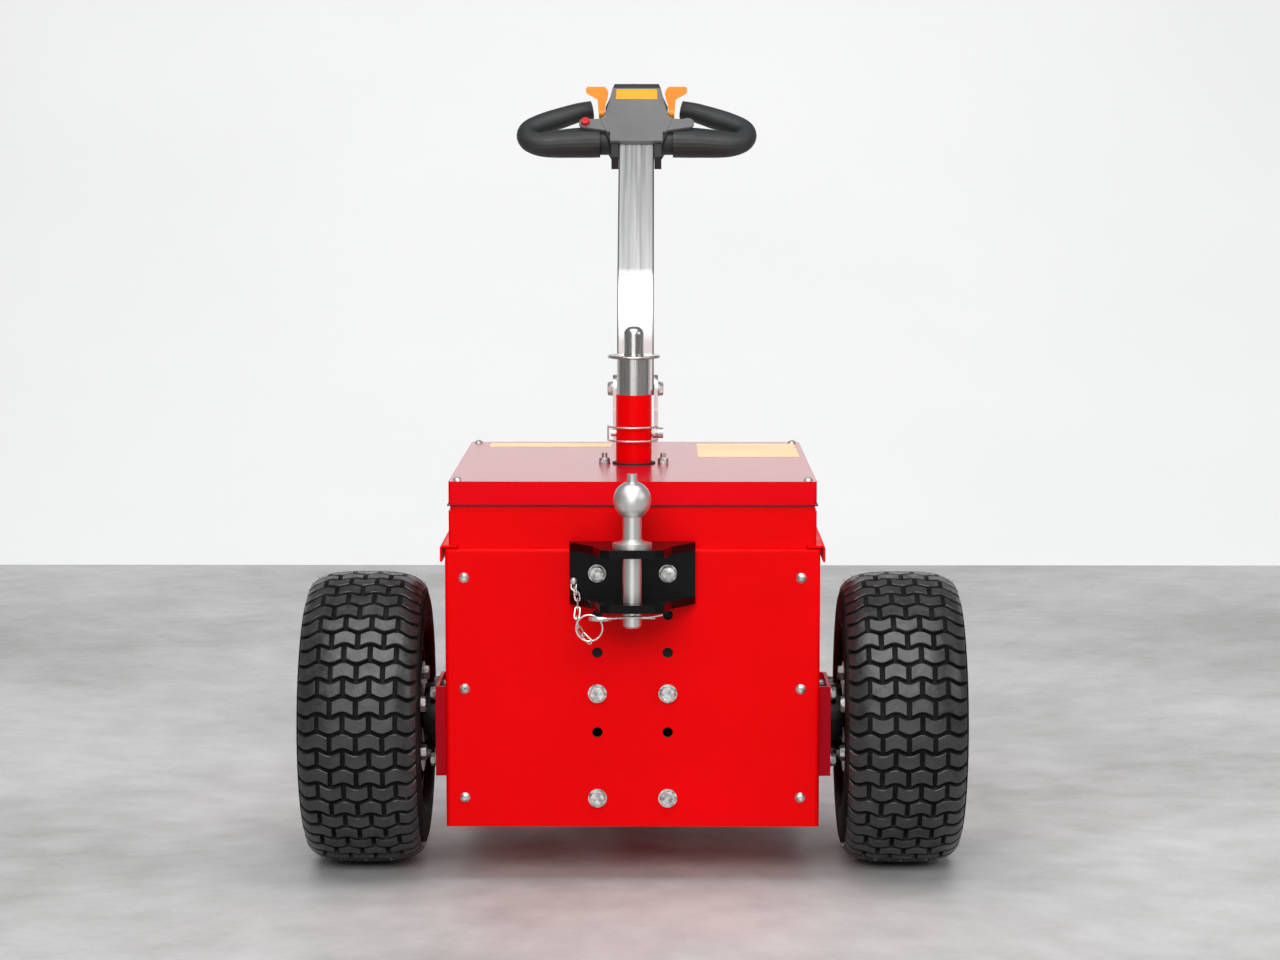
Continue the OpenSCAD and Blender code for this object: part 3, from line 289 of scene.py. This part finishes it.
YELLOW = moulded("yellow_plastic", (0.80, 0.52, 0.02), (0.90, 0.62, 0.03), 0.35, 700, 0.08)
CASE = moulded("battery_case", (0.05, 0.055, 0.065), (0.09, 0.095, 0.11), 0.5)
LABEL = moulded("blank_label", (0.86, 0.58, 0.30), (0.93, 0.66, 0.38), 0.40, 400, 0.03)
# Near-black rubber for the post's grommet, also used as painted shadow for the strip under the lid's skirt.
BLACK_RUBBER_AND_SHADOW = moulded("grommet_rubber_and_painted_shadow", (0.004, 0.004, 0.004), (0.010, 0.010, 0.010), 0.65)

LOOKS = {
    "chassis_tub": RED, "front_plate": RED, "front_plate_screws": ZINC, "backing_plate": MILL,
    "front_plate_bolts": ZINC, "upper_box": RED, "lid": LID_RED, "lid_screws": ZINC,
    "post_tube": RED, "post_nuts": ZINC, "coupling_pin": STEEL_REFLECTION_STREAKS, "lock_pin": ZINC,
    "lock_pin_bail": CHAIN_ZINC, "hitch_bracket": BLACK, "hitch_fasteners": ZINC,
    "tow_ball_pin": STEEL_SATIN, "r_clip": CHAIN_ZINC, "clip_ring": CHAIN_ZINC,
    "clip_chain": CHAIN_ZINC, "side_plate_left": SIDE_RED, "side_plate_right": SIDE_RED,
    "side_plate_bolts": ZINC, "gear_motor_left": BLACK, "gear_motor_right": BLACK,
    "wheel_hub_left": BLACK, "wheel_hub_right": BLACK, "wheel_nuts_left": ZINC,
    "wheel_nuts_right": ZINC, "rim_left": BLACK, "rim_right": BLACK, "batteries": CASE,
    "battery_tray": MILL, "motor_controller": BLACK, "tiller_clevis": STEEL_PLATE,
    "rear_bolts": ZINC, "tiller_pivot_bolt": ZINC, "tiller_arm": STEEL_ARM, "head_base": DARK,
    "head_cover": GREY, "head_insert": ORANGE_PALE, "handle_loop_left": DARK,
    "handle_loop_right": DARK, "thumb_lever_left": ORANGE, "thumb_lever_right": ORANGE,
    "lever_shaft": ZINC, "horn_button": RED_PLASTIC, "belly_button": RED_PLASTIC,
    "castor_bracket": RED, "castor_plate": ZINC, "castor_fork": ZINC, "castor_wheel": CASTOR,
    "castor_axle": ZINC, "emergency_stop_base": YELLOW, "emergency_stop_button": RED_PLASTIC,
    "key_switch": ZINC, "key": STEEL_REFLECTION_STREAKS, "battery_gauge": DARK, "charge_socket": DARK,
    "tyre_left": TYRE_CASING_GROOVE_SHADE, "tyre_right": TYRE_CASING_GROOVE_SHADE,
}
for node, look in LOOKS.items():
    mesh = NODES[node].data
    mesh.materials.clear()
    mesh.materials.append(look)

SHARP_DEG = 35
# Sheet-metal and moulded edges are broken by this many mm, so they catch the light
EDGES = {
    "upper_box": 0.7, "lid": 1.6, "front_plate": 0.8, "chassis_tub": 0.8, "side_plate_left": 1.0,
    "side_plate_right": 1.0, "hitch_bracket": 1.2, "tiller_clevis": 1.0, "tiller_arm": 3.0,
    "head_base": 3.0, "head_cover": 2.0, "head_insert": 0.5, "thumb_lever_left": 2.2,
    "thumb_lever_right": 2.2, "castor_bracket": 1.0, "front_plate_bolts": 0.5,
    "hitch_fasteners": 0.5, "side_plate_bolts": 0.4, "rear_bolts": 0.4, "batteries": 3.0,
    "horn_button": 1.2, "belly_button": 1.5, "battery_gauge": 1.0,
}


def break_edges(piece, width):
    """Bevel the sharp edges, after flat faces are made whole so that no bevel ends inside one."""
    weld = piece.modifiers.new("weld", "WELD")
    weld.merge_threshold = 0.02 * MM
    flats = piece.modifiers.new("flats", "DECIMATE")
    flats.decimate_type = "DISSOLVE"
    flats.angle_limit = math.radians(0.5)
    edge = piece.modifiers.new("edge", "BEVEL")
    edge.width = width
    edge.segments = 2
    edge.limit_method = "ANGLE"
    edge.angle_limit = math.radians(SHARP_DEG)
    edge.harden_normals = True
    edge.use_clamp_overlap = True


for node, width in EDGES.items():
    break_edges(NODES[node], width * MM)


# ---------------------------------------------------------------- mesh helpers

def piece_from(bm, name, look, body, smooth_deg=SHARP_DEG):
    """A named object from a bmesh, smooth but for edges over smooth_deg, riding on a body."""
    bmesh.ops.recalc_face_normals(bm, faces=bm.faces)
    mesh = bpy.data.meshes.new(name)
    bm.to_mesh(mesh)
    bm.free()
    mesh.materials.append(look)
    obj = bpy.data.objects.new(name, mesh)
    bpy.context.scene.collection.objects.link(obj)
    for poly in mesh.polygons:
        poly.use_smooth = True
    mesh.set_sharp_from_angle(angle=math.radians(smooth_deg))
    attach(obj, body)
    return obj


def grid_faces(bm, rings, close_ring=True, close_path=False):
    """Quads between successive rings of vertices."""
    count = len(rings)
    size = len(rings[0])
    for i in range(count if close_path else count - 1):
        here, following = rings[i], rings[(i + 1) % count]
        for k in range(size if close_ring else size - 1):
            m = (k + 1) % size
            bm.faces.new((here[k], here[m], following[m], following[k]))


# ---------------------------------------------------------------- the spring clip's chain

# It hangs from its screw on the bracket
chain = bpy.data.objects.new("chain_links", NODES["clip_chain"].data.copy())
chain.matrix_world = NODES["clip_chain"].matrix_world
bpy.context.scene.collection.objects.link(chain)
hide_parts("clip_chain")
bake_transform(chain)


# ---------------------------------------------------------------- turf tyres

ROWS = 52                    # tread blocks round the tyre
BLOCK_PITCH = 35 * MM        # across the tread
GROOVE = 6.0 * MM
TREAD_DEPTH = 7.5 * MM
WAVE = 5.0 * MM              # how far the grooves zigzag round the tyre
WAVE_FLAT = 0.22             # the part of each crest and trough that is flat
TREAD_EDGE = 88 * MM         # where the tread ends, along the surface from its middle
EDGE_BLOCK = 30 * MM         # a narrower block at the tread's edge is joined to its neighbour
CHAMFER = 0.9 * MM
BEAD_R = 104 * MM
SECTION_POWER = 0.62         # squareness of the tyre's section
SECTION_SWEEP = 126          # degrees from the middle of the tread to the bead
SECTION_STEPS = 240
SKIN = 0.9 * MM              # the sidewall lies this far inside the CAD tyre
RIB_AT = 0.56, 0.62, 0.93    # raised rings on the sidewall, as parts of the way to the bead
RIB_WIDTH = 1.3 * MM
RIB_HEIGHT = 0.8 * MM
NIBS = 46                    # moulding hairs round each shoulder
NIB_R = 0.5 * MM


class TyreShape:
    """The CAD tyre's section, measured along its surface from the middle of the tread."""

    def __init__(self, node):
        low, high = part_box(node)
        self.centre = (low + high) / 2
        self.half_w = (high.x - low.x) / 2
        self.r_out = (high.z - low.z) / 2
        mid, half_h = (self.r_out + BEAD_R) / 2, (self.r_out - BEAD_R) / 2
        self.points = []
        for i in range(SECTION_STEPS + 1):
            a = math.radians(90 - SECTION_SWEEP * i / SECTION_STEPS)
            up, out = math.sin(a), math.cos(a)
            self.points.append((self.half_w * math.copysign(abs(out) ** SECTION_POWER, out),
                                mid + half_h * math.copysign(abs(up) ** SECTION_POWER, up)))
        self.lengths = [0.0]
        for p, q in zip(self.points, self.points[1:]):
            self.lengths.append(self.lengths[-1] + math.dist(p, q))

    def at(self, s, depth):
        """(x, r) at arc length s from the middle, sunk by depth below the surface."""
        side = -1 if s < 0 else 1
        s = min(abs(s), self.lengths[-1] - 1e-6)
        i = next(k for k, length in enumerate(self.lengths[1:]) if length >= s)
        (x0, r0), (x1, r1) = self.points[i], self.points[i + 1]
        span = self.lengths[i + 1] - self.lengths[i] or 1e-9
        t = (s - self.lengths[i]) / span
        nx, nr = -(r1 - r0) / span, (x1 - x0) / span
        return side * (x0 + (x1 - x0) * t - nx * depth), r0 + (r1 - r0) * t - nr * depth

    def point(self, x, r, phi):
        """The place in the frame of a point of the section turned to phi."""
        return Vector((self.centre.x + x, self.centre.y - r * math.cos(phi),
                       self.centre.z + r * math.sin(phi)))


def wave(s):
    """The grooves' zigzag: flat-topped crests over one block, troughs under the next."""
    t = abs(((s / BLOCK_PITCH) % 1.0) - 0.5) * 2
    t = min(1, max(0, (t - WAVE_FLAT) / (1 - 2 * WAVE_FLAT)))
    return WAVE * (0.5 - t)


def tread_blocks(bm, shape):
    """Rows of blocks round the tyre, every other row half a block across."""
    pitch_angle = 2 * math.pi / ROWS
    pitch = pitch_angle * shape.r_out
    for row in range(ROWS):
        offset = 0.0 if row % 2 else 0.5
        cells = []
        for k in range(-3, 4):
            low = (k - 0.5 + offset) * BLOCK_PITCH
            high = low + BLOCK_PITCH
            low, high = max(low, -TREAD_EDGE), min(high, TREAD_EDGE)
            if high - low < 12 * MM:
                continue
            if high == TREAD_EDGE and high - low < EDGE_BLOCK and cells:
                cells[-1] = (cells[-1][0], high)
                continue
            cells.append((low, high))
        if cells[0][1] - cells[0][0] < EDGE_BLOCK:
            cells[1] = (cells[0][0], cells[1][1])
            cells.pop(0)
        for low, high in cells:
            block(bm, shape, low, high, row * pitch_angle, pitch)


def block(bm, shape, low, high, phi, pitch):
    """One tread block from low to high across the tyre, with chamfered upper edges."""
    steps = max(6, round((high - low) / (5 * MM)))
    a, b = low + GROOVE / 2, high - GROOVE / 2
    half = pitch / 2 - GROOVE / 2

    def outline(inset, depth):
        ring = []
        for edge in (1, -1):
            places = [a + inset + (b - a - 2 * inset) * i / steps for i in range(steps + 1)]
            for s in places if edge == 1 else reversed(places):
                along = wave(s) + edge * (half - inset)
                x, r = shape.at(s, depth)
                ring.append(bm.verts.new(shape.point(x, r, phi + along / shape.r_out)))
        return ring

    foot = outline(-0.5 * MM, TREAD_DEPTH + 1 * MM)
    shoulder = outline(0, CHAMFER)
    top = outline(CHAMFER, 0)
    grid_faces(bm, [foot, shoulder, top])
    n = len(top)
    for k in range(n // 2 - 1):
        bm.faces.new((top[k], top[k + 1], top[n - 2 - k], top[n - 1 - k]))


def carcass(bm, shape, turns=112):
    """The tyre under its tread, down both sidewalls to the beads."""
    total = shape.lengths[-1]
    section = []
    for t in [-1 + 2 * i / 72 for i in range(73)]:
        s = t * total
        sink = TREAD_DEPTH * min(1, max(0, (TREAD_EDGE + 5 * MM - abs(s)) / (5 * MM)))
        rib = 0.0
        for at in RIB_AT:
            rib += math.exp(-(((abs(t) - at) * total / RIB_WIDTH) ** 2))
        section.append(shape.at(s, max(sink, SKIN) - RIB_HEIGHT * min(rib, 1)))
    rings = []
    for k in range(turns):
        phi = 2 * math.pi * k / turns
        rings.append([bm.verts.new(shape.point(x, r, phi)) for x, r in section])
    grid_faces(bm, rings, close_ring=False, close_path=True)


def moulding_nibs(bm, shape, rng):
    """Rubber hairs left by the mould's vents, round both shoulders."""
    for side in (-1, 1):
        for k in range(NIBS):
            phi = 2 * math.pi * (k + rng.uniform(-0.3, 0.3)) / NIBS
            if math.sin(phi) < -0.75:    # worn off near the floor
                continue
            s = side * rng.uniform(64, 84) * MM
            x, r = shape.at(s, 0)
            x2, r2 = shape.at(s, -rng.uniform(3, 6.5) * MM)
            foot, tip = shape.point(x, r, phi), shape.point(x2, r2, phi + rng.uniform(-0.012, 0.012))
            tip.x = max(CAD_BOX[0].x + 1 * MM, min(CAD_BOX[1].x - 1 * MM, tip.x))
            axis = (tip - foot).normalized()
            out = axis.orthogonal().normalized()
            base = [bm.verts.new(foot + (Matrix.Rotation(math.tau / 3 * i, 3, axis) @ out) * NIB_R)
                    for i in range(3)]
            end = bm.verts.new(tip)
            for i in range(3):
                bm.faces.new((base[i], base[(i + 1) % 3], end))


rng = random.Random(7)    # its draws go to the left tyre's hairs, then the right's
for side in ("left", "right"):
    shape = TyreShape("tyre_" + side)
    body = "wheel_" + side
    bm = bmesh.new()
    carcass(bm, shape)
    casing = piece_from(bm, "tyre_casing_" + side, TYRE_CASING_GROOVE_SHADE, body, 50)
    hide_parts("tyre_" + side)
    bm = bmesh.new()
    tread_blocks(bm, shape)
    tread = piece_from(bm, "tyre_tread_" + side, TREAD, body, 25)
    bm = bmesh.new()
    moulding_nibs(bm, shape, rng)
    piece_from(bm, "tyre_nibs_" + side, TREAD, body, 25)


# ---------------------------------------------------------------- lid labels and grommets

lid_low, lid_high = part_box("lid")
box_low, box_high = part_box("upper_box")
post_low, post_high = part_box("post_tube")
LABEL_T = 0.3 * MM
SKIRT_SHADOW_T = 1.6 * MM
POST_D = 50 * MM
GROMMET_W = 5 * MM


def label(name, x0, x1, y0, y1, corner=3 * MM):
    """A blank label on the lid with rounded corners, y0 and y1 measured from the lid's back edge."""
    y0, y1 = lid_high.y - y0, lid_high.y - y1
    bm = bmesh.new()
    outline = []
    for cx, cy, start in ((x1 - corner, y1 - corner, 0), (x0 + corner, y1 - corner, 90),
                          (x0 + corner, y0 + corner, 180), (x1 - corner, y0 + corner, 270)):
        for i in range(5):
            a = math.radians(start + 90 * i / 4)
            outline.append((cx + corner * math.cos(a), cy + corner * math.sin(a)))
    low = [bm.verts.new((x, y, lid_high.z)) for x, y in outline]
    high = [bm.verts.new((x, y, lid_high.z + LABEL_T)) for x, y in outline]
    grid_faces(bm, [low, high])
    bm.faces.new(high)
    bm.faces.new(list(reversed(low)))
    piece_from(bm, name, LABEL, "chassis")


label("label_right", 91 * MM, 236 * MM, 225 * MM, 30 * MM)
label("label_left", -215 * MM, -35 * MM, 80 * MM, 22 * MM)


def ring_strip(name, inner, outer, z0, z1):
    """A black strip between two matching outlines, from z0 up to z1: rubber for the post's grommet, painted
    shadow under the lid's skirt.
    """
    bm = bmesh.new()
    rings = [[bm.verts.new((x, y, z)) for x, y in line]
             for line, z in ((inner, z0), (outer, z0), (outer, z1), (inner, z1))]
    grid_faces(bm, rings, close_path=True)
    piece_from(bm, name, BLACK_RUBBER_AND_SHADOW, "chassis")


def rectangle(low, high, grow):
    """The outline of a box seen from above, grown on every side."""
    return [(low.x - grow, low.y - grow), (high.x + grow, low.y - grow),
            (high.x + grow, high.y + grow), (low.x - grow, high.y + grow)]


def circle(middle, r, n=48):
    """A round outline of n points."""
    return [(middle.x + r * math.cos(math.tau * k / n), middle.y + r * math.sin(math.tau * k / n))
            for k in range(n)]


# A thin black strip under the lid's skirt is painted shadow: it stands for the shade in the gap between the
# skirt and the box
ring_strip("lid_skirt_painted_shadow", rectangle(box_low, box_high, 0.2 * MM), rectangle(box_low, box_high, SKIRT_SHADOW_T),
           lid_low.z - SKIRT_SHADOW_T, lid_low.z - 0.1 * MM)
# A grommet closes the hole where the post passes through the lid
post_middle = (post_low + post_high) / 2
ring_strip("post_grommet", circle(post_middle, POST_D / 2 + 0.2 * MM),
           circle(post_middle, POST_D / 2 + GROMMET_W), lid_high.z - 1 * MM, lid_high.z + 2.2 * MM)


# ---------------------------------------------------------------- stage, camera and light

STAGE_HALF = 14
STAGE_FRONT = -12
WALL_Y = 2.75
SWEEP_END = 10.5
SWEEP_RISE = 0.12
SWEEP_STEPS = 48


def polished_concrete():
    g = Graph("floor")
    patches = g.spread(g.noise(0.9, 8, 0.68), 0.0, 1.0, 0.36, 0.66)
    grain = g.spread(g.noise(14, 10, 0.75), -0.28, 0.28)
    mottle = g.add("ShaderNodeMath", operation="ADD", use_clamp=True)
    g.link(patches, mottle.inputs[0])
    g.link(grain, mottle.inputs[1])
    g.link(g.ramp(mottle.outputs[0], (0.0, (0.36, 0.355, 0.35)), (1.0, (0.56, 0.56, 0.555))),
           g.shader.inputs["Base Color"])
    g.link(g.spread(g.noise(5, 8, 0.7), 0.38, 0.68), g.shader.inputs["Roughness"])
    g.bump((g.noise(40, 8, 0.7), 0.12, 0.002))
    return g.mat


def white_paint():
    g = Graph("wall").set(Roughness=0.9)
    g.link(g.ramp(g.noise(0.8, 3), (RAMP_LOW, (0.90, 0.90, 0.90)), (RAMP_HIGH, (0.93, 0.93, 0.93))),
           g.shader.inputs["Base Color"])
    return g.mat


def stage_strip(name, profile, look):
    """A surface as wide as the stage along a line of (y, z) points."""
    mesh = bpy.data.meshes.new(name)
    points = [(x, y, z) for y, z in profile for x in (-STAGE_HALF, STAGE_HALF)]
    quads = [(2 * i, 2 * i + 1, 2 * i + 3, 2 * i + 2) for i in range(len(profile) - 1)]
    mesh.from_pydata(points, [], quads)
    mesh.materials.append(look)
    for face in mesh.polygons:
        face.use_smooth = True
    obj = bpy.data.objects.new(name, mesh)
    bpy.context.scene.collection.objects.link(obj)


# The backdrop is a long white sweep, low enough close by to look at the machine from behind
run = [(SWEEP_END - WALL_Y) * i / SWEEP_STEPS for i in range(SWEEP_STEPS + 1)]
stage_strip("floor", [(STAGE_FRONT, 0), (WALL_Y, 0)], polished_concrete())
stage_strip("backdrop", [(WALL_Y + d, SWEEP_RISE * d ** 2) for d in run], white_paint())

world = bpy.data.worlds.new("studio")
bpy.context.scene.world = world
world.use_nodes = True
sky = world.node_tree.nodes["Background"]
sky.inputs["Color"].default_value = (0.95, 0.97, 1.0, 1)
sky.inputs["Strength"].default_value = 0.22


def area(name, at, look_at, size, power, size_y, mirrored=True, lights=True):
    """A soft box; mirrored: seen in reflections, lights: lights matt surfaces."""
    data = bpy.data.lights.new(name, "AREA")
    data.energy = power
    data.shape = "RECTANGLE"
    data.size = size
    data.size_y = size_y
    obj = bpy.data.objects.new(name, data)
    obj.location = at
    obj.visible_glossy = mirrored
    obj.visible_diffuse = lights
    obj.rotation_euler = (Vector(look_at) - Vector(at)).to_track_quat("-Z", "Y").to_euler()
    bpy.context.scene.collection.objects.link(obj)


area("ceiling", (0, -0.4, 4.4), (0, 0, 0), 5.0, 150, 4.0, False)
area("wall_wash", (0, 4.2, 5.6), (0, 6.4, 0.8), 9.0, 185, 2.5, False)
area("front", (-0.4, -5.6, 3.4), (0, 0, 0.5), 4.0, 205, 2.4, False)
area("front_card", (-0.3, -6.4, 1.6), (0, 0, 0.6), 4.4, 72, 2.8, True, False)
area("arm_card", (0, -2.84, 2.6), (0, -2.84, 0), 2.2, 135, 5.0, True, False)
area("side", (3.6, -2.0, 2.2), (0, 0, 0.5), 2.4, 28, 2.0)

bpy.context.scene.view_settings.view_transform = "Standard"
EYE = (0.03275, -4.5712, 0.99968)
LOOKS_DOWN, TURNED = 0.108786, 0.0054777    # radians
camera = bpy.data.cameras.new("camera")
camera.lens = 88.88
camera.sensor_width = 36
eye = bpy.data.objects.new("camera", camera)
eye.location = EYE
eye.rotation_euler = (math.pi / 2 - LOOKS_DOWN, 0, TURNED)
bpy.context.scene.collection.objects.link(eye)
bpy.context.scene.camera = eye
